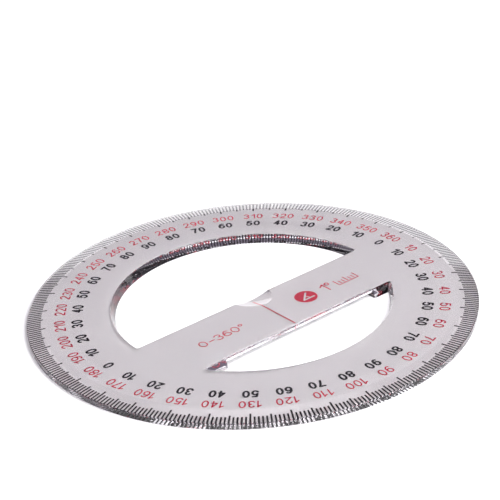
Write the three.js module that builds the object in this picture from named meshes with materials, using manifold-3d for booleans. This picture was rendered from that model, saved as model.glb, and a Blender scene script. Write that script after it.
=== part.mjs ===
// Full-circle protractor (360 degree goniometer): a clear moulded plate with a bevelled rim, a crossbar
// between two D-shaped windows, and the thin print layers that are stamped into its underside.
// Units are millimetres, +Z is up. The origin is on the resting face, at the centre of the graduated circle,
// +X points to the 0/360 mark, and the marks run clockwise when the plate is seen from above.

import * as THREE from "three";
import { mergeVertices } from "three/addons/utils/BufferGeometryUtils.js";
import Module from "manifold-3d";

const wasm = await Module();
wasm.setup();

// Plate
const OUTER_RADIUS = 50;
const PLATE_THICKNESS = 2;
const RIM_THICKNESS = 1.34;
const BEVEL_START_RADIUS = 45.6;

// Windows: their walls lean, so each opening is smaller at the underside by the spread
const WINDOW_RADIUS = 31.38;
const WALL_SPREAD = 0.9;

// Crossbar: its upper edge lies on the 0-180 diameter, and between the two notch ends the underside of its
// lower edge is cut back under a thin lip
const BAR_TOP_Y = 0.05;
const BAR_LOW_Y = -16.68;
const NOTCH_START_X = -20.5;
const NOTCH_END_X = 21;
const NOTCH_FOOT_Y = -15.1;
const LIP_HEIGHT = 0.75;

// Half-round dish in the top face that thins the plate over the centre point
const DISH_RADIUS = 4.7;
const DISH_DEPTH = 0.75;

// Print layers, each lying in a shallow recess of the underside
const PRINT_THICKNESS = 0.08;
const PRINT_LIFT = 0.02;
const RECESS_DEPTH = 0.12;
const RECESS_MARGIN = 0.05;
const GRADUATION_BAND = [45.6, 49.8];
const RED_NUMERAL_BAND = [41.3, 44.3];
const BLACK_NUMERAL_BAND = [37.4, 40.5];
const BAR_PRINT_Y = -7.5;
const CENTRE_LINE = { x: 0, y: -7.5, width: 0.32, height: 14.4 };
const RANGE_LABEL = { x: -14.5, y: BAR_PRINT_Y, width: 12.8, height: 2.9 };
const DIVISION_MARK = { x: 19, y: BAR_PRINT_Y, width: 10.6, height: 4.2 };
const EMBLEM = { x: 9.4, y: BAR_PRINT_Y, radius: 2.75 };

// Facets
const CIRCLE_STEPS = 96;
const SMALL_CIRCLE_STEPS = 32;
const DISH_ARC_STEPS = 6;
const CUT_CLEARANCE = 1;

const BLACK_INK = "#26242a";
const RED_INK = "#c23a4c";
const CLEAR_PLASTIC = "#d8d2d6";

function solid(geometry) {
  const bare = geometry.clone();
  bare.deleteAttribute("normal");
  bare.deleteAttribute("uv");
  const merged = mergeVertices(bare, 1e-4);
  const corners = merged.index.array;
  const triangles = [];
  for (let i = 0; i < corners.length; i += 3) {
    const [a, b, c] = [corners[i], corners[i + 1], corners[i + 2]];
    const collapsed = a === b || b === c || c === a;
    if (!collapsed) triangles.push(a, b, c);
  }
  return new wasm.Manifold(new wasm.Mesh({
    numProp: 3,
    vertProperties: new Float32Array(merged.attributes.position.array),
    triVerts: new Uint32Array(triangles),
  }));
}

function geometryOf(manifold) {
  const mesh = manifold.getMesh();
  const geometry = new THREE.BufferGeometry();
  geometry.setAttribute("position", new THREE.BufferAttribute(mesh.vertProperties, 3));
  geometry.setIndex(new THREE.BufferAttribute(mesh.triVerts, 1));
  geometry.computeVertexNormals();
  return geometry;
}

// Turns a profile of [radius, height] pairs round the Z axis
function turned(profile, steps) {
  const points = profile.map(([radius, height]) => new THREE.Vector2(radius, height));
  return new THREE.LatheGeometry(points, steps).rotateX(Math.PI / 2);
}

function ring([inner, outer], bottom, top) {
  const profile = [[inner, bottom], [outer, bottom], [outer, top], [inner, top], [inner, bottom]];
  return turned(profile, CIRCLE_STEPS);
}

function block(area, bottom, top) {
  const height = top - bottom;
  return new THREE.BoxGeometry(area.width, area.height, height)
    .translate(area.x, area.y, (bottom + top) / 2);
}

function disc(area, bottom, top) {
  return turned([[0, bottom], [area.radius, bottom], [area.radius, top], [0, top]], SMALL_CIRCLE_STEPS)
    .translate(area.x, area.y, 0);
}

// Bar along X whose section is a list of [y, z] corners
function bar(section, startX, endX) {
  const shape = new THREE.Shape(section.map(([y, z]) => new THREE.Vector2(y, z)));
  const toSection = new THREE.Matrix4().makeBasis(
    new THREE.Vector3(0, 1, 0),
    new THREE.Vector3(0, 0, 1),
    new THREE.Vector3(1, 0, 0),
  );
  return new THREE.ExtrudeGeometry(shape, { depth: endX - startX, bevelEnabled: false })
    .applyMatrix4(toSection)
    .translate(startX, 0, 0);
}

const CUT_BOTTOM = -CUT_CLEARANCE;
const CUT_TOP = PLATE_THICKNESS + CUT_CLEARANCE;
const FAR_Y = 40;

// How far a leaning wall stands out at a height, measured from its top edge
const lean = (height) => WALL_SPREAD * (1 - height / PLATE_THICKNESS);

function windowCone() {
  return turned([
    [0, CUT_BOTTOM],
    [WINDOW_RADIUS - lean(CUT_BOTTOM), CUT_BOTTOM],
    [WINDOW_RADIUS - lean(CUT_TOP), CUT_TOP],
    [0, CUT_TOP],
  ], CIRCLE_STEPS);
}

// The part of the window cone above the crossbar
function upperWindow() {
  const section = [
    [BAR_TOP_Y + lean(CUT_BOTTOM), CUT_BOTTOM],
    [FAR_Y, CUT_BOTTOM],
    [FAR_Y, CUT_TOP],
    [BAR_TOP_Y + lean(CUT_TOP), CUT_TOP],
  ];
  return solid(windowCone()).intersect(solid(bar(section, -FAR_Y, FAR_Y)));
}

// The part of the window cone below the crossbar
function lowerWindow() {
  const section = [
    [-FAR_Y, CUT_BOTTOM],
    [BAR_LOW_Y - lean(CUT_BOTTOM), CUT_BOTTOM],
    [BAR_LOW_Y - lean(CUT_TOP), CUT_TOP],
    [-FAR_Y, CUT_TOP],
  ];
  return solid(windowCone()).intersect(solid(bar(section, -FAR_Y, FAR_Y)));
}

// Clears the underside below the lip of the lower edge
function notchCutter() {
  const lipBottom = PLATE_THICKNESS - LIP_HEIGHT;
  const outerY = BAR_LOW_Y - 2 * WALL_SPREAD;
  return solid(bar([
    [outerY, CUT_BOTTOM],
    [NOTCH_FOOT_Y, CUT_BOTTOM],
    [NOTCH_FOOT_Y, 0],
    [BAR_LOW_Y, lipBottom],
    [BAR_LOW_Y, CUT_TOP],
    [outerY, CUT_TOP],
  ], NOTCH_START_X, NOTCH_END_X));
}

// Lens-shaped cutter: a shallow ball cap below the top face, and a plug above it
function dishCutter() {
  const ballRadius = (DISH_RADIUS ** 2 + DISH_DEPTH ** 2) / (2 * DISH_DEPTH);
  const rimAngle = Math.asin(DISH_RADIUS / ballRadius);
  const profile = [];
  for (let i = 0; i <= DISH_ARC_STEPS; i += 1) {
    const angle = rimAngle * i / DISH_ARC_STEPS;
    const depth = DISH_DEPTH - ballRadius * (1 - Math.cos(angle));
    profile.push([ballRadius * Math.sin(angle), PLATE_THICKNESS - depth]);
  }
  profile.push([DISH_RADIUS, PLATE_THICKNESS + CUT_CLEARANCE]);
  profile.push([0, PLATE_THICKNESS + CUT_CLEARANCE]);
  return turned(profile, SMALL_CIRCLE_STEPS);
}

function plateBlank() {
  return turned([
    [0, 0],
    [OUTER_RADIUS, 0],
    [OUTER_RADIUS, RIM_THICKNESS],
    [BEVEL_START_RADIUS, PLATE_THICKNESS],
    [0, PLATE_THICKNESS],
  ], CIRCLE_STEPS);
}

const widerBand = ([inner, outer]) => [inner - RECESS_MARGIN, outer + RECESS_MARGIN];

const widerBlock = (area) => ({
  ...area,
  width: area.width + 2 * RECESS_MARGIN,
  height: area.height + 2 * RECESS_MARGIN,
});

const widerDisc = (area) => ({ ...area, radius: area.radius + RECESS_MARGIN });

// Each print layer: its material, its shape between two heights, and the same shape widened for its recess
const prints = [
  ["black_graduation_print", BLACK_INK, ring, GRADUATION_BAND, widerBand],
  ["black_numeral_print", BLACK_INK, ring, BLACK_NUMERAL_BAND, widerBand],
  ["red_numeral_print", RED_INK, ring, RED_NUMERAL_BAND, widerBand],
  ["red_centre_line_print", RED_INK, block, CENTRE_LINE, widerBlock],
  ["red_range_label_print", RED_INK, block, RANGE_LABEL, widerBlock],
  ["red_angle_emblem_print", RED_INK, disc, EMBLEM, widerDisc],
  ["red_division_mark_print", RED_INK, block, DIVISION_MARK, widerBlock],
];

function clearPlate() {
  let plate = solid(plateBlank());
  for (const cutter of [upperWindow(), lowerWindow(), notchCutter(), solid(dishCutter())]) {
    plate = plate.subtract(cutter);
  }
  for (const [, , shape, area, widen] of prints) {
    plate = plate.subtract(solid(shape(widen(area), -CUT_CLEARANCE, RECESS_DEPTH)));
  }
  return geometryOf(plate);
}

function mesh(name, geometry, color, roughness, extra = {}) {
  const material = new THREE.MeshStandardMaterial({ color, roughness, metalness: 0, ...extra });
  const part = new THREE.Mesh(geometry, material);
  part.name = name;
  return part;
}

const protractor = new THREE.Group();
protractor.add(mesh("clear_plate", clearPlate(), CLEAR_PLASTIC, 0.1, { transparent: true, opacity: 0.4 }));
for (const [name, ink, shape, area] of prints) {
  const layer = shape(area, PRINT_LIFT, PRINT_LIFT + PRINT_THICKNESS);
  protractor.add(mesh(name, layer, ink, 0.6));
}

export default protractor;
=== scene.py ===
import math

import bpy
import numpy as np
from mathutils import Euler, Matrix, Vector
from mathutils.geometry import delaunay_2d_cdt

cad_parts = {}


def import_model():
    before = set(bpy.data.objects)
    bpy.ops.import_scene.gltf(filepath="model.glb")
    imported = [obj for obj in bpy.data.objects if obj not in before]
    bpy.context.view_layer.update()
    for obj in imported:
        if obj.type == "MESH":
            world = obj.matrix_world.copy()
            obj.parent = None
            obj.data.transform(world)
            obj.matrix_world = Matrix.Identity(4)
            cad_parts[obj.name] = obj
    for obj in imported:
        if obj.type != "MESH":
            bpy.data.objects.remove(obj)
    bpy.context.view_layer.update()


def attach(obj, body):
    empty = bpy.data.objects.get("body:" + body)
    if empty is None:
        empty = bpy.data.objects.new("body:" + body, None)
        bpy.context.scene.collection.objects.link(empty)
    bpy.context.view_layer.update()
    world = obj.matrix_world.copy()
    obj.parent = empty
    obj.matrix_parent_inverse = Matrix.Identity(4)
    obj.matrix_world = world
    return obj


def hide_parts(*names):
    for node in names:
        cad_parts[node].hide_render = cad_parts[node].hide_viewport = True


# Sizes are in millimetres, and are scaled to metres when a mesh is made or the camera is placed.
# Only the softbox and floor sizes are in metres.
MM = 0.001

# Plan points closer than this are the same point.
NEAR = 1e-6

# Plate
OUTER_RADIUS = 50.0
PLATE_THICKNESS = 2.0
RIM_THICKNESS = 1.34
BEVEL_START_RADIUS = 45.6
BEVEL_BLEND = 0.25
WINDOW_RADIUS = 31.38
WALL_SPREAD = 0.9
BAR_TOP_Y = 0.05
BAR_LOW_Y = -16.68
WINDOW_CORNER = 0.4
NOTCH_LEFT_X = -20.5
NOTCH_RIGHT_X = 21.0
NOTCH_FOOT_Y = -15.1
NOTCH_ROUND = 1.2
LIP_HEIGHT = 0.75
LIP_ROUND = 0.2
EDGE_ROUND = 0.3
RIM_ROUND = 0.2
FOOT_ROUND = 0.05
DISH_RADIUS = 4.7
DISH_DEPTH = 0.75
BALL_RADIUS = (DISH_RADIUS ** 2 + DISH_DEPTH ** 2) / (2 * DISH_DEPTH)

# Facets
CIRCLE_STEPS = 360
ROUND_STEPS = 5
FOOT_STEPS = 2
LIP_STEPS = 5
CORNER_STEPS = 14
UPPER_ARC_STEPS = 180
LOWER_ARC_STEPS = 120
UPPER_EDGE_STEPS = 12
BESIDE_NOTCH_STEPS = 6
NOTCH_STEPS = 41
NOTCH_ROUND_STEPS = 8
DISH_EDGE_STEPS = 36
DISH_RIM_STEPS = 60
DISH_RINGS = 12
DISH_SPOKES = 48

# Ink
INK_BOTTOM = 0.003
INK_TOP = 0.018
TICK_WIDTH = 0.39
TICK_OUTER = 49.78
TICK_INNER = {1: 46.75, 5: 46.25, 10: 45.75}
RED_NUMERAL = {"radius": 42.75, "height": 2.45, "width": 1.48, "stroke": 0.32, "gap": 0.37}
BLACK_NUMERAL = {"radius": 38.95, "height": 2.6, "width": 1.6, "stroke": 0.5, "gap": 0.22}
CENTRE_LINE = (-0.15, 0.15, -14.65, -0.35)
RANGE_LABEL = {"place": (-14.55, -7.5), "height": 2.35, "width": 1.9, "stroke": 0.26, "gap": 0.36}
EMBLEM = {"place": (9.4, -7.5), "radius": 2.62, "stroke": 0.42, "arc_stroke": 0.3}
EMBLEM_ANGLE = {"corner": (-1.35, -1.0), "leaning_end": (1.0, 1.35), "level_end": (1.55, -1.0)}
EMBLEM_ARC = {"radius": 1.75, "start": 2, "end": 43}
DIVISION_SIGN = {"place": (15.6, -7.4), "height": 3.4, "width": 2.1, "stroke": 0.34, "gap": 0.2}
SCALE_LINES = {"count": 7, "start": 18.2, "spacing": 0.95, "width": 0.26}
SCALE_FOOT = -8.6
SCALE_SHORT_TOP = -7.2
SCALE_TALL_TOP = -6.5
SCALE_BASE = (18.2, 24.16, -9.0, -8.75)

# Width of each narrow sign, as a share of a full sign
SIGN_WIDTHS = {"1": 0.62, "deg": 0.56, "-": 0.8}

# Camera: place, turn in degrees, and focal length
CAMERA_PLACE = (-187.31, -242.96, 168.93)
CAMERA_TURN = (63.099, 3.631, -39.539)
CAMERA_LENS = 113.191

# Studio: a dark room, a pale backdrop low behind the object, and a softbox high on the near right.
# The backdrop's top is a height, and its edge a nearness to its aim, both of a unit direction.
ROOM_TONE = (0.21, 0.18, 0.23)
BACKDROP_TONE = (1.8, 1.78, 1.84)
BACKDROP_TOP = (0.375, 0.352)
BACKDROP_AIM = (0.9063, 0.4226, 0.0)
BACKDROP_EDGE = (0.7, 0.75)
KEY_PLACE = (0.22, -0.59, 0.9)
KEY_SIZE = (0.9, 0.9)
KEY_POWER = 22.0
FLOOR_HALF = 3.0
FLOOR_Z = -0.00004
LIGHT_BOUNCES = 24
GLOSSY_BOUNCES = 12


# ---------------------------------------------------------------- mesh building
class Shell:
    """Collects faces with their own corner normals and joins equal points."""

    def __init__(self):
        self.points = []
        self.index = {}
        self.faces = []
        self.normals = []

    def point(self, p):
        key = (round(p[0], 6), round(p[1], 6), round(p[2], 6))
        if key not in self.index:
            self.index[key] = len(self.points)
            self.points.append(key)
        return self.index[key]

    def face(self, corners, normals):
        ids = [self.point(p) for p in corners]
        kept = [k for k in range(len(ids)) if ids[k] != ids[k - 1]]
        if len(kept) < 3:
            return
        self.faces.append([ids[k] for k in kept])
        self.normals.extend(normals[k] for k in kept)

    def build(self, name):
        mesh = bpy.data.meshes.new(name)
        mesh.from_pydata([Vector(p) * MM for p in self.points], [], self.faces)
        for polygon in mesh.polygons:
            polygon.use_smooth = True
        mesh.normals_split_custom_set([Vector(n).normalized() for n in self.normals])
        mesh.update()
        part = bpy.data.objects.new(name, mesh)
        bpy.context.scene.collection.objects.link(part)
        return part


def middle(corners):
    return [sum(c[axis] for c in corners) / len(corners) for axis in (0, 1)]


def inside(loop, x, y):
    """True when a plan point lies within a closed loop."""
    ends = np.array(loop)
    x0, y0 = ends[:, 0], ends[:, 1]
    x1, y1 = np.roll(x0, -1), np.roll(y0, -1)
    crossing = (y0 > y) != (y1 > y)
    at = x0 + (y - y0) * (x1 - x0) / np.where(crossing, y1 - y0, 1.0)
    return np.count_nonzero(crossing & (x < at)) % 2 == 1


def fill(loops, creases, extra):
    """Triangles over the area between closed loops, with creases and extra points kept in it."""
    points = []
    edges = []
    for loop in loops:
        start = len(points)
        points.extend(loop)
        edges.extend((start + k, start + (k + 1) % len(loop)) for k in range(len(loop)))
    known = {(round(x, 6), round(y, 6)): k for k, (x, y) in enumerate(points)}
    for crease in creases:
        ids = []
        for x, y in crease:
            key = (round(x, 6), round(y, 6))
            if key not in known:
                known[key] = len(points)
                points.append((x, y))
            ids.append(known[key])
        edges.extend(zip(ids, ids[1:]))
    points.extend(extra)
    out, _, faces, origin, _, _ = delaunay_2d_cdt([Vector(p) for p in points], edges, [], 0, 1e-7)
    plan = [points[o[0]] if o else (v.x, v.y) for v, o in zip(out, origin)]
    triangles = [[plan[i] for i in face] for face in faces]
    return [t for t in triangles if sum(inside(loop, *middle(t)) for loop in loops) == 1]


def arc(cx, cy, radius, start, end, steps):
    """Points of an arc, each with the direction from the plastic to the open side within it."""
    row = []
    for k in range(steps + 1):
        angle = math.radians(start + (end - start) * k / steps)
        ux, uy = math.cos(angle), math.sin(angle)
        row.append((cx + radius * ux, cy + radius * uy, -ux, -uy))
    return row


def line(x0, y0, x1, y1, nx, ny, steps):
    """Points of a straight edge, each with the direction to the open side."""
    return [
        (x0 + (x1 - x0) * k / steps, y0 + (y1 - y0) * k / steps, nx, ny)
        for k in range(steps + 1)
    ]


def joined(*rows):
    """One closed loop of all rows, without the points that neighbours share."""
    loop = []
    for row in rows:
        for p in row:
            if not loop or math.dist(loop[-1][:2], p[:2]) > NEAR:
                loop.append(p)
    if math.dist(loop[0][:2], loop[-1][:2]) < NEAR:
        loop.pop()
    return loop


def wall_point(x, y, nx, ny, foot_line):
    """A point of a window's top edge: place, open side, foot, and height where its wall turns.

    A foot that would pass the corner between the straight and the round foot stays at that corner.
    """
    foot_x, foot_y = x + nx * WALL_SPREAD, y + ny * WALL_SPREAD
    foot_radius = WINDOW_RADIUS - WALL_SPREAD
    past_line = (foot_y - foot_line) * math.copysign(1.0, foot_line) < -NEAR
    if past_line or math.hypot(foot_x, foot_y) > foot_radius + NEAR:
        foot_x = math.copysign(math.sqrt(foot_radius ** 2 - foot_line ** 2), foot_x)
        foot_y = foot_line
    return (x, y, nx, ny, foot_x, foot_y, 0.0)


def upper_window():
    r = WINDOW_CORNER
    low = BAR_TOP_Y + r
    cx = math.sqrt((WINDOW_RADIUS - r) ** 2 - low ** 2)
    turn = math.degrees(math.atan2(low, cx))
    side = math.sqrt(DISH_RADIUS ** 2 - BAR_TOP_Y ** 2)
    row = joined(
        line(-cx, BAR_TOP_Y, -side, BAR_TOP_Y, 0, 1, UPPER_EDGE_STEPS),
        line(-side, BAR_TOP_Y, side, BAR_TOP_Y, 0, 1, DISH_EDGE_STEPS),
        line(side, BAR_TOP_Y, cx, BAR_TOP_Y, 0, 1, UPPER_EDGE_STEPS),
        arc(cx, low, r, -90, turn, CORNER_STEPS),
        arc(0, 0, WINDOW_RADIUS, turn, 180 - turn, UPPER_ARC_STEPS),
        arc(-cx, low, r, 180 - turn, 270, CORNER_STEPS),
    )
    return [wall_point(*p, BAR_TOP_Y + WALL_SPREAD) for p in row]


def lower_window():
    r = WINDOW_CORNER
    low = BAR_LOW_Y - r
    cx = math.sqrt((WINDOW_RADIUS - r) ** 2 - low ** 2)
    turn = math.degrees(math.atan2(low, cx))
    foot_y = BAR_LOW_Y - WALL_SPREAD
    lip = PLATE_THICKNESS - LIP_HEIGHT
    left, right, corner = NOTCH_LEFT_X, NOTCH_RIGHT_X, NOTCH_ROUND

    def walls(row):
        return [wall_point(*p, foot_y) for p in row]

    points = walls(line(cx, BAR_LOW_Y, right, BAR_LOW_Y, 0, -1, BESIDE_NOTCH_STEPS))
    for k in range(NOTCH_STEPS + 1):
        x = right + (left - right) * k / NOTCH_STEPS
        points.append((x, BAR_LOW_Y, 0, -1, x, NOTCH_FOOT_Y, lip))
    for k in range(NOTCH_ROUND_STEPS + 1):
        angle = math.radians(90 * k / NOTCH_ROUND_STEPS)
        x = left - corner * (1 - math.cos(angle))
        end_y = foot_y + corner * (1 - math.sin(angle))
        points.append((x, BAR_LOW_Y, 0, -1, x, end_y, 0.0))
    points += walls(line(left - corner, BAR_LOW_Y, -cx, BAR_LOW_Y, 0, -1, BESIDE_NOTCH_STEPS)[1:])
    points += walls(arc(-cx, low, r, 90, 180 - turn, CORNER_STEPS)[1:])
    points += walls(arc(0, 0, WINDOW_RADIUS, 180 - turn, 360 + turn, LOWER_ARC_STEPS)[1:])
    points += walls(arc(cx, low, r, turn, 90, CORNER_STEPS)[1:-1])
    return points


def top_height(x, y):
    """Height of the top face at a plan point, with the dish taken off."""
    r = math.hypot(x, y)
    if r >= DISH_RADIUS:
        return PLATE_THICKNESS
    return PLATE_THICKNESS + BALL_RADIUS - DISH_DEPTH - math.sqrt(BALL_RADIUS ** 2 - r ** 2)


def top_normal(x, y, in_dish):
    if not in_dish:
        return (0.0, 0.0, 1.0)
    r = min(math.hypot(x, y), DISH_RADIUS)
    up = math.sqrt(BALL_RADIUS ** 2 - r ** 2)
    return (-x / BALL_RADIUS, -y / BALL_RADIUS, up / BALL_RADIUS)


def wall_column(x, y, nx, ny, foot_x, foot_y, turn_z):
    """Places and normals up one line of a window wall, from the underside to the top face."""
    top = top_height(x, y)
    spread = (foot_x - x) * nx + (foot_y - y) * ny
    rise = turn_z or top
    tilt = math.atan2(spread, rise)
    upper_tilt = 0.0 if turn_z else tilt

    def facing(angle):
        return (nx * math.cos(angle), ny * math.cos(angle), math.sin(angle))

    column = []
    for k in range(FOOT_STEPS + 1):
        angle = -math.pi / 2 + (tilt + math.pi / 2) * k / FOOT_STEPS
        height = FOOT_ROUND * (1 - math.cos(math.pi / 2 * k / FOOT_STEPS))
        inset = FOOT_ROUND * (1 - math.sin(math.pi / 2 * k / FOOT_STEPS))
        share = height / rise
        px = foot_x + (x - foot_x) * share - nx * inset
        py = foot_y + (y - foot_y) * share - ny * inset
        column.append(((px, py, height), facing(angle)))
    lip_reach = LIP_ROUND * math.tan((upper_tilt - tilt) / 2)
    for k in range(LIP_STEPS + 1):
        if turn_z:
            angle = tilt + (upper_tilt - tilt) * k / LIP_STEPS
            out = LIP_ROUND * (math.cos(angle) - 1)
            height = turn_z + lip_reach + LIP_ROUND * math.sin(angle)
            column.append(((x + nx * out, y + ny * out, height), facing(angle)))
        else:
            halfway = ((x + foot_x) / 2, (y + foot_y) / 2, top / 2)
            column.append((halfway, facing(tilt)))
    reach = EDGE_ROUND * math.tan((math.pi / 2 - upper_tilt) / 2)
    for k in range(ROUND_STEPS + 1):
        angle = upper_tilt + (math.pi / 2 - upper_tilt) * k / ROUND_STEPS
        out = EDGE_ROUND * math.cos(angle) - reach
        px, py = x + nx * out, y + ny * out
        height = top_height(px, py) - EDGE_ROUND * (1 - math.sin(angle))
        normal = Vector(facing(angle))
        if math.hypot(px, py) < DISH_RADIUS:
            normal = normal.lerp(Vector(top_normal(px, py, True)), math.sin(angle))
        column.append(((px, py, height), tuple(normal)))
    return column


def window_wall(shell, loop):
    """Builds the wall of a window and gives back its edges on the underside and on the top face."""
    columns = [wall_column(*place) for place in loop]
    count = len(loop)
    for k in range(count):
        m = (k + 1) % count
        left, right = columns[m], columns[k]
        end_face = (loop[k][6] > 0) != (loop[m][6] > 0)
        for step in range(len(left) - 1):
            corners = [left[step], right[step], right[step + 1], left[step + 1]]
            places = [c[0] for c in corners]
            normals = [c[1] for c in corners]
            if end_face and step < len(left) - 1 - ROUND_STEPS:
                first, second, third, fourth = [Vector(place) for place in places]
                flat = (third - first).cross(fourth - second)
                if flat.length > 1e-9:
                    normals = [tuple(flat.normalized())] * 4
            shell.face(places, normals)
    return [c[0][0][:2] for c in columns], [c[-1][0][:2] for c in columns]


def rim_profile():
    """Radius, height and normal (out, up) from the underside round the rim and up the bevel."""
    slope = math.atan2(PLATE_THICKNESS - RIM_THICKNESS, OUTER_RADIUS - BEVEL_START_RADIUS)
    profile = []
    for k in range(FOOT_STEPS + 1):
        lift = math.radians(90 * k / FOOT_STEPS)
        radius = OUTER_RADIUS - FOOT_ROUND * (1 - math.sin(lift))
        height = FOOT_ROUND * (1 - math.cos(lift))
        profile.append((radius, height, math.sin(lift), -math.cos(lift)))
    turn = math.pi / 2 - slope
    tangent = RIM_ROUND * math.tan(turn / 2)
    for k in range(ROUND_STEPS + 1):
        angle = turn * k / ROUND_STEPS
        radius = OUTER_RADIUS - RIM_ROUND * (1 - math.cos(angle))
        height = RIM_THICKNESS - tangent + RIM_ROUND * math.sin(angle)
        profile.append((radius, height, math.cos(angle), math.sin(angle)))
    blend = [(-BEVEL_BLEND, 1.0), (0.0, 0.5), (BEVEL_BLEND, 0.0)]
    for offset, share in blend:
        radius = BEVEL_START_RADIUS - offset
        height = PLATE_THICKNESS - max(0.0, -offset) * math.tan(slope)
        if offset == 0.0:
            height -= 0.25 * BEVEL_BLEND * math.tan(slope)
        profile.append((radius, height, math.sin(slope * share), math.cos(slope * share)))
    return profile


def rim_wall(shell):
    profile = rim_profile()
    angles = [2 * math.pi * k / CIRCLE_STEPS for k in range(CIRCLE_STEPS)]
    turns = [(math.cos(angle), math.sin(angle)) for angle in angles]
    for (r0, z0, o0, u0), (r1, z1, o1, u1) in zip(profile, profile[1:]):
        for k in range(CIRCLE_STEPS):
            c0, s0 = turns[k]
            c1, s1 = turns[(k + 1) % CIRCLE_STEPS]
            places = [
                (r0 * c0, r0 * s0, z0),
                (r0 * c1, r0 * s1, z0),
                (r1 * c1, r1 * s1, z1),
                (r1 * c0, r1 * s0, z1),
            ]
            normals = [
                (o0 * c0, o0 * s0, u0),
                (o0 * c1, o0 * s1, u0),
                (o1 * c1, o1 * s1, u1),
                (o1 * c0, o1 * s0, u1),
            ]
            shell.face(places, normals)
    inner = profile[0][0]
    outer = profile[-1][0]
    return [(inner * c, inner * s) for c, s in turns], [(outer * c, outer * s) for c, s in turns]


def dish_lines(upper_lip):
    """The edge of the dish on the top face, and points inside it that keep its bowl round."""
    side = math.sqrt(DISH_RADIUS ** 2 - BAR_TOP_Y ** 2)
    wall_tilt = math.atan2(WALL_SPREAD, PLATE_THICKNESS)
    lip_y = BAR_TOP_Y - EDGE_ROUND * math.tan((math.pi / 2 - wall_tilt) / 2)
    ends = [min(upper_lip, key=lambda p: math.dist(p, (sign * side, lip_y))) for sign in (-1, 1)]
    start = math.asin(-lip_y / DISH_RADIUS)
    edge = [ends[0]]
    for k in range(1, DISH_RIM_STEPS):
        angle = -math.pi + start + (math.pi - 2 * start) * k / DISH_RIM_STEPS
        edge.append((DISH_RADIUS * math.cos(angle), DISH_RADIUS * math.sin(angle)))
    edge.append(ends[1])
    bowl = []
    for ring in range(1, DISH_RINGS):
        r = DISH_RADIUS * ring / DISH_RINGS
        for k in range(DISH_SPOKES):
            angle = math.pi + math.pi * k / DISH_SPOKES
            x, y = r * math.cos(angle), r * math.sin(angle)
            if y < lip_y - 0.1:
                bowl.append((x, y))
    return edge, bowl


def plate():
    shell = Shell()
    upper_foot, upper_lip = window_wall(shell, upper_window())
    lower_foot, lower_lip = window_wall(shell, lower_window())
    rim_foot, rim_lip = rim_wall(shell)
    for corners in fill([rim_foot, upper_foot, lower_foot], [], []):
        shell.face([(x, y, 0.0) for x, y in reversed(corners)], [(0, 0, -1)] * len(corners))
    edge, bowl = dish_lines(upper_lip)
    for corners in fill([rim_lip, upper_lip, lower_lip], [edge], bowl):
        in_dish = math.hypot(*middle(corners)) < DISH_RADIUS
        places = [(x, y, top_height(x, y)) for x, y in corners]
        shell.face(places, [top_normal(x, y, in_dish) for x, y in corners])
    return shell.build("clear_plate_visual")


# ---------------------------------------------------------------- ink outlines
def oval(cx, cy, rx, ry, start, end, steps=18):
    return [
        (cx + rx * math.cos(math.radians(start + (end - start) * k / steps)),
         cy + ry * math.sin(math.radians(start + (end - start) * k / steps)))
        for k in range(steps + 1)
    ]


def glyph_paths(sign):
    """Centre lines of a sign in a box one unit wide and one unit tall."""
    six = [oval(0.5, 0.31, 0.5, 0.31, 0, 360, 24), oval(0.62, 0.36, 0.62, 0.64, 62, 180, 12)]
    return {
        "0": [oval(0.5, 0.5, 0.5, 0.5, 0, 360, 28)],
        "1": [[(0.05, 0.74), (0.42, 0.86), (0.62, 1.0)], [(0.62, 1.0), (0.62, 0.0)]],
        "2": [oval(0.5, 0.71, 0.46, 0.29, 165, -35, 14) + [(0.0, 0.0)], [(0.0, 0.0), (1.0, 0.0)]],
        "3": [
            oval(0.47, 0.76, 0.43, 0.24, 160, -80, 14),
            oval(0.47, 0.26, 0.5, 0.26, 80, -160, 14),
        ],
        "4": [[(0.74, 1.0), (0.0, 0.3)], [(0.0, 0.3), (1.0, 0.3)], [(0.74, 1.0), (0.74, 0.0)]],
        "5": [
            [(0.9, 1.0), (0.2, 1.0)],
            [(0.2, 1.0), (0.08, 0.5)],
            oval(0.46, 0.33, 0.52, 0.33, 138, -155, 16),
        ],
        "6": six,
        "7": [[(0.0, 1.0), (1.0, 1.0)], [(1.0, 1.0), (0.68, 0.62), (0.47, 0.3), (0.36, 0.0)]],
        "8": [oval(0.5, 0.76, 0.43, 0.24, 0, 360, 22), oval(0.5, 0.26, 0.5, 0.26, 0, 360, 22)],
        "9": [[(1 - x, 1 - y) for x, y in path] for path in six],
        "-": [[(0.12, 0.42), (0.88, 0.42)]],
        "deg": [oval(0.3, 0.82, 0.26, 0.17, 0, 360, 16)],
    }[sign]


def ribbon(path, width):
    """Quads along a centre line, and a round end at each of its open ends."""
    closed = math.dist(path[0], path[-1]) < 1e-9
    pts = path[:-1] if closed else path
    count = len(pts)
    sides = []
    for k in range(count):
        before = pts[k - 1] if closed or k > 0 else pts[k]
        after = pts[(k + 1) % count] if closed or k < count - 1 else pts[k]
        dx, dy = after[0] - before[0], after[1] - before[1]
        length = math.hypot(dx, dy)
        nx, ny = -dy / length * width / 2, dx / length * width / 2
        x, y = pts[k]
        sides.append(((x + nx, y + ny), (x - nx, y - ny)))
    last = count if closed else count - 1
    shapes = []
    for k in range(last):
        (a, b), (d, c) = sides[k], sides[(k + 1) % count]
        shapes.append([b, c, d, a])
    if not closed:
        for x, y in (pts[0], pts[-1]):
            shapes.append(oval(x, y, width / 2, width / 2, 0, 360, 12)[:-1])
    return shapes


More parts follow.
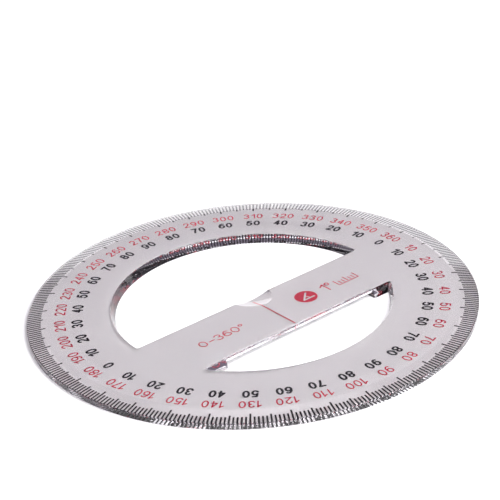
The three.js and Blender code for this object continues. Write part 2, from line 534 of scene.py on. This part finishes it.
def union(shapes, cut=()):
    """Triangles covered by any of the shapes and by none of the cuts."""
    points = []
    faces = []
    for shape in list(shapes) + list(cut):
        faces.append(list(range(len(points), len(points) + len(shape))))
        points.extend(shape)
    out, _, tris, _, _, sources = delaunay_2d_cdt([Vector(p) for p in points], [], faces, 1, 1e-5)
    kept = []
    for triangle, source in zip(tris, sources):
        if source and all(shape < len(shapes) for shape in source):
            kept.append(triangle)
    return [(v.x, v.y) for v in out], kept


def text_shapes(signs, size):
    """Shapes of a line of signs, centred on the origin."""
    stroke = size["stroke"]
    inner_w, inner_h = size["width"] - stroke, size["height"] - stroke
    x = 0.0
    shapes = []
    for sign in signs:
        left, low = x + stroke / 2, -inner_h / 2
        for path in glyph_paths(sign):
            scaled = [(left + px * inner_w, py * inner_h + low) for px, py in path]
            shapes.extend(ribbon(scaled, stroke))
        x += stroke + inner_w * SIGN_WIDTHS.get(sign, 1.0) + size["gap"]
    total = x - size["gap"]
    return [[(px - total / 2, py) for px, py in shape] for shape in shapes]


BOX_TRIANGLES = [(0, 1, 2), (0, 2, 3)]


class Ink:
    """Flat closed solids that make up one print layer."""

    def __init__(self):
        self.points = []
        self.faces = []

    def add(self, plan, tris, place=lambda x, y: (x, y)):
        start = len(self.points)
        count = len(plan)
        placed = [place(x, y) for x, y in plan]
        self.points.extend((x, y, INK_BOTTOM) for x, y in placed)
        self.points.extend((x, y, INK_TOP) for x, y in placed)
        sides = {}
        for tri in tris:
            tri = list(tri)
            self.faces.append([start + count + i for i in tri])
            self.faces.append([start + i for i in reversed(tri)])
            for a, b in zip(tri, tri[1:] + tri[:1]):
                sides[(a, b)] = True
        for a, b in sides:
            if (b, a) not in sides:
                self.faces.append([start + a, start + b, start + count + b, start + count + a])

    def build(self, name):
        mesh = bpy.data.meshes.new(name)
        mesh.from_pydata([Vector(p) * MM for p in self.points], [], self.faces)
        mesh.update()
        part = bpy.data.objects.new(name, mesh)
        bpy.context.scene.collection.objects.link(part)
        return part


def mark_place(mark, radius):
    """Puts a sign drawn round the origin at a mark, with its top pointing outward."""
    angle = math.radians(mark)
    ux, uy = math.cos(angle), -math.sin(angle)
    return lambda x, y: (ux * (radius + y) + uy * x, uy * (radius + y) - ux * x)


def shifted(place):
    return lambda x, y: (x + place[0], y + place[1])


def graduation():
    ink = Ink()
    for mark in range(360):
        step = 10 if mark % 10 == 0 else 5 if mark % 5 == 0 else 1
        inner = TICK_INNER[step]
        half = TICK_WIDTH / 2
        plan = [(-half, inner), (half, inner), (half, TICK_OUTER), (-half, TICK_OUTER)]
        ink.add(plan, BOX_TRIANGLES, mark_place(mark, 0))
    return ink.build("black_graduation")


def numeral_ring(name, size, number_at):
    ink = Ink()
    made = {}
    for mark in range(10, 370, 10):
        number = str(number_at(mark))
        if number not in made:
            made[number] = union(text_shapes(number, size))
        ink.add(*made[number], mark_place(mark, size["radius"]))
    return ink.build(name)


def quarter_number(mark):
    folded = mark % 180
    return min(folded, 180 - folded)


def black_numerals():
    return numeral_ring("black_numerals", BLACK_NUMERAL, quarter_number)


def red_numerals():
    return numeral_ring("red_numerals", RED_NUMERAL, lambda mark: mark)


def box_plan(x0, x1, y0, y1):
    return [(x0, y0), (x1, y0), (x1, y1), (x0, y1)]


def centre_line():
    ink = Ink()
    ink.add(box_plan(*CENTRE_LINE), BOX_TRIANGLES)
    return ink.build("red_centre_line")


def range_label():
    ink = Ink()
    shapes = text_shapes(["0", "-", "3", "6", "0", "deg"], RANGE_LABEL)
    ink.add(*union(shapes), shifted(RANGE_LABEL["place"]))
    return ink.build("red_range_label")


def angle_emblem():
    """A round disc with an open angle and its arc cut out of it."""
    ink = Ink()
    disc = oval(0, 0, EMBLEM["radius"], EMBLEM["radius"], 0, 360, 72)[:-1]
    corner = EMBLEM_ANGLE["corner"]
    sweep = EMBLEM_ARC["radius"]
    arc_path = oval(*corner, sweep, sweep, EMBLEM_ARC["start"], EMBLEM_ARC["end"], 10)
    cut = ribbon([EMBLEM_ANGLE["leaning_end"], corner], EMBLEM["stroke"])
    cut += ribbon([corner, EMBLEM_ANGLE["level_end"]], EMBLEM["stroke"])
    cut += ribbon(arc_path, EMBLEM["arc_stroke"])
    ink.add(*union([disc], cut), shifted(EMBLEM["place"]))
    return ink.build("red_angle_emblem")


def division_mark():
    ink = Ink()
    ink.add(*union(text_shapes(["1", "deg"], DIVISION_SIGN)), shifted(DIVISION_SIGN["place"]))
    # Every third line of the scale is tall
    for k in range(SCALE_LINES["count"]):
        x = SCALE_LINES["start"] + SCALE_LINES["spacing"] * k
        top = SCALE_TALL_TOP if k % 3 == 0 else SCALE_SHORT_TOP
        ink.add(box_plan(x, x + SCALE_LINES["width"], SCALE_FOOT, top), BOX_TRIANGLES)
    ink.add(box_plan(*SCALE_BASE), BOX_TRIANGLES)
    return ink.build("red_division_mark")


# ---------------------------------------------------------------- materials
def material(name):
    mat = bpy.data.materials.new(name)
    mat.use_nodes = True
    nodes = mat.node_tree.nodes
    return mat, nodes, mat.node_tree.links, nodes["Principled BSDF"]


def noise(nodes, links, scale, detail):
    """Noise that stays with the object."""
    place = nodes.new("ShaderNodeTexCoord")
    grain = nodes.new("ShaderNodeTexNoise")
    grain.inputs["Scale"].default_value = scale
    grain.inputs["Detail"].default_value = detail
    links.new(place.outputs["Object"], grain.inputs["Vector"])
    return grain.outputs["Fac"]


def color_ramp(nodes, links, source, stops):
    """Colour that runs between two stops, each a position and a colour."""
    ramp = nodes.new("ShaderNodeValToRGB")
    for element, (position, color) in zip(ramp.color_ramp.elements, stops):
        element.position = position
        element.color = color
    links.new(source, ramp.inputs["Fac"])
    return ramp.outputs["Color"]


def add_bump(nodes, links, shader, source, strength, distance):
    bump = nodes.new("ShaderNodeBump")
    bump.inputs["Strength"].default_value = strength
    bump.inputs["Distance"].default_value = distance
    links.new(source, bump.inputs["Height"])
    links.new(bump.outputs["Normal"], shader.inputs["Normal"])


def clear_plastic():
    """Clear plastic with painted shade: its base colour is darker on flat faces than on walls. It
    is also smudged, wavy and faintly grey inside.
    """
    mat, nodes, links, shader = material("clear_plastic")
    shader.inputs["IOR"].default_value = 1.49
    shader.inputs["Transmission Weight"].default_value = 1.0
    surface = nodes.new("ShaderNodeNewGeometry")
    split = nodes.new("ShaderNodeSeparateXYZ")
    links.new(surface.outputs["Normal"], split.inputs["Vector"])
    level = nodes.new("ShaderNodeMath")
    level.operation = "ABSOLUTE"
    links.new(split.outputs["Z"], level.inputs[0])
    # Painted shade: faces that point up or down get a darker base colour than the walls, standing
    # in for the shade seen through the plate.
    painted_shade_stops = [(0.7, (0.97, 0.97, 0.98, 1)), (0.95, (0.91, 0.893, 0.898, 1))]
    links.new(color_ramp(nodes, links, level.outputs["Value"], painted_shade_stops), shader.inputs["Base Color"])
    rough = nodes.new("ShaderNodeMapRange")
    rough.inputs["From Min"].default_value = 0.35
    rough.inputs["From Max"].default_value = 0.75
    rough.inputs["To Min"].default_value = 0.0
    rough.inputs["To Max"].default_value = 0.012
    links.new(noise(nodes, links, 70.0, 5.0), rough.inputs["Value"])
    links.new(rough.outputs["Result"], shader.inputs["Roughness"])
    add_bump(nodes, links, shader, noise(nodes, links, 160.0, 2.0), 0.02, 0.0001)
    tint = nodes.new("ShaderNodeVolumeAbsorption")
    tint.inputs["Color"].default_value = (0.62, 0.58, 0.62, 1)
    tint.inputs["Density"].default_value = 20.0
    links.new(tint.outputs["Volume"], nodes["Material Output"].inputs["Volume"])
    return mat


def ink_material(name, dark, light):
    mat, nodes, links, shader = material(name)
    shader.inputs["Roughness"].default_value = 0.5
    grain = noise(nodes, links, 1800.0, 4.0)
    stops = [(0.35, dark), (0.75, light)]
    links.new(color_ramp(nodes, links, grain, stops), shader.inputs["Base Color"])
    add_bump(nodes, links, shader, grain, 0.15, 0.00002)
    return mat


# ---------------------------------------------------------------- stage
def pale_floor():
    mesh = bpy.data.meshes.new("floor")
    corners = [(-1, -1), (1, -1), (1, 1), (-1, 1)]
    points = [(FLOOR_HALF * x, FLOOR_HALF * y, FLOOR_Z) for x, y in corners]
    mesh.from_pydata(points, [], [(0, 1, 2, 3)])
    part = bpy.data.objects.new("floor", mesh)
    bpy.context.scene.collection.objects.link(part)
    mat, nodes, links, shader = material("pale_floor")
    shader.inputs["Base Color"].default_value = (0.93, 0.93, 0.93, 1)
    shader.inputs["Roughness"].default_value = 0.9
    shader.inputs["Specular IOR Level"].default_value = 0.1
    part.data.materials.append(mat)


def world():
    sky = bpy.data.worlds.new("studio")
    bpy.context.scene.world = sky
    sky.use_nodes = True
    nodes, links = sky.node_tree.nodes, sky.node_tree.links
    back = nodes["Background"]
    place = nodes.new("ShaderNodeTexCoord")
    split = nodes.new("ShaderNodeSeparateXYZ")
    links.new(place.outputs["Generated"], split.inputs["Vector"])
    low = nodes.new("ShaderNodeMapRange")
    low.inputs["From Min"].default_value = BACKDROP_TOP[0]
    low.inputs["From Max"].default_value = BACKDROP_TOP[1]
    links.new(split.outputs["Z"], low.inputs["Value"])
    toward = nodes.new("ShaderNodeVectorMath")
    toward.operation = "DOT_PRODUCT"
    toward.inputs[1].default_value = BACKDROP_AIM
    links.new(place.outputs["Generated"], toward.inputs[0])
    side = nodes.new("ShaderNodeMapRange")
    side.inputs["From Min"].default_value = BACKDROP_EDGE[0]
    side.inputs["From Max"].default_value = BACKDROP_EDGE[1]
    links.new(toward.outputs["Value"], side.inputs["Value"])
    both = nodes.new("ShaderNodeMath")
    both.operation = "MULTIPLY"
    links.new(low.outputs["Result"], both.inputs[0])
    links.new(side.outputs["Result"], both.inputs[1])
    mix = nodes.new("ShaderNodeMixRGB")
    mix.inputs["Color1"].default_value = (*ROOM_TONE, 1)
    mix.inputs["Color2"].default_value = (*BACKDROP_TONE, 1)
    links.new(both.outputs["Value"], mix.inputs["Fac"])
    links.new(mix.outputs["Color"], back.inputs["Color"])
    back.inputs["Strength"].default_value = 1.0


def softbox():
    """Square softbox that faces the origin."""
    light = bpy.data.lights.new("key_softbox", "AREA")
    light.shape = "RECTANGLE"
    light.size, light.size_y = KEY_SIZE
    light.energy = KEY_POWER
    lamp = bpy.data.objects.new("key_softbox", light)
    lamp.location = KEY_PLACE
    lamp.rotation_euler = (-Vector(KEY_PLACE)).to_track_quat("-Z", "Y").to_euler()
    bpy.context.scene.collection.objects.link(lamp)


def camera():
    data = bpy.data.cameras.new("camera")
    data.sensor_width = 36.0
    data.lens = CAMERA_LENS
    data.clip_start = 0.01
    data.clip_end = 20
    eye = bpy.data.objects.new("camera", data)
    eye.location = Vector(CAMERA_PLACE) * MM
    eye.rotation_euler = Euler([math.radians(a) for a in CAMERA_TURN], "XYZ")
    bpy.context.scene.collection.objects.link(eye)
    bpy.context.scene.camera = eye


# ---------------------------------------------------------------- scene
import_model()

plastic = clear_plastic()
black = ink_material("black_ink", (0.008, 0.008, 0.01, 1), (0.02, 0.018, 0.022, 1))
red = ink_material("red_ink", (0.7, 0.035, 0.07, 1), (0.85, 0.07, 0.12, 1))
pieces = [
    (plate(), "clear_plate", "clear_plastic", plastic),
    (graduation(), "black_graduation_print", "black_ink", black),
    (black_numerals(), "black_numeral_print", "black_ink", black),
    (red_numerals(), "red_numeral_print", "red_ink", red),
    (centre_line(), "red_centre_line_print", "red_ink", red),
    (range_label(), "red_range_label_print", "red_ink", red),
    (angle_emblem(), "red_angle_emblem_print", "red_ink", red),
    (division_mark(), "red_division_mark_print", "red_ink", red),
]
for piece, node, finish, mat in pieces:
    piece.data.materials.append(mat)
    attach(piece, "root")
    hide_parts(node)

pale_floor()
world()
softbox()
camera()

view = bpy.context.scene.view_settings
view.view_transform = "Standard"
cycles = bpy.context.scene.cycles
cycles.max_bounces = LIGHT_BOUNCES
cycles.transmission_bounces = LIGHT_BOUNCES
cycles.glossy_bounces = GLOSSY_BOUNCES
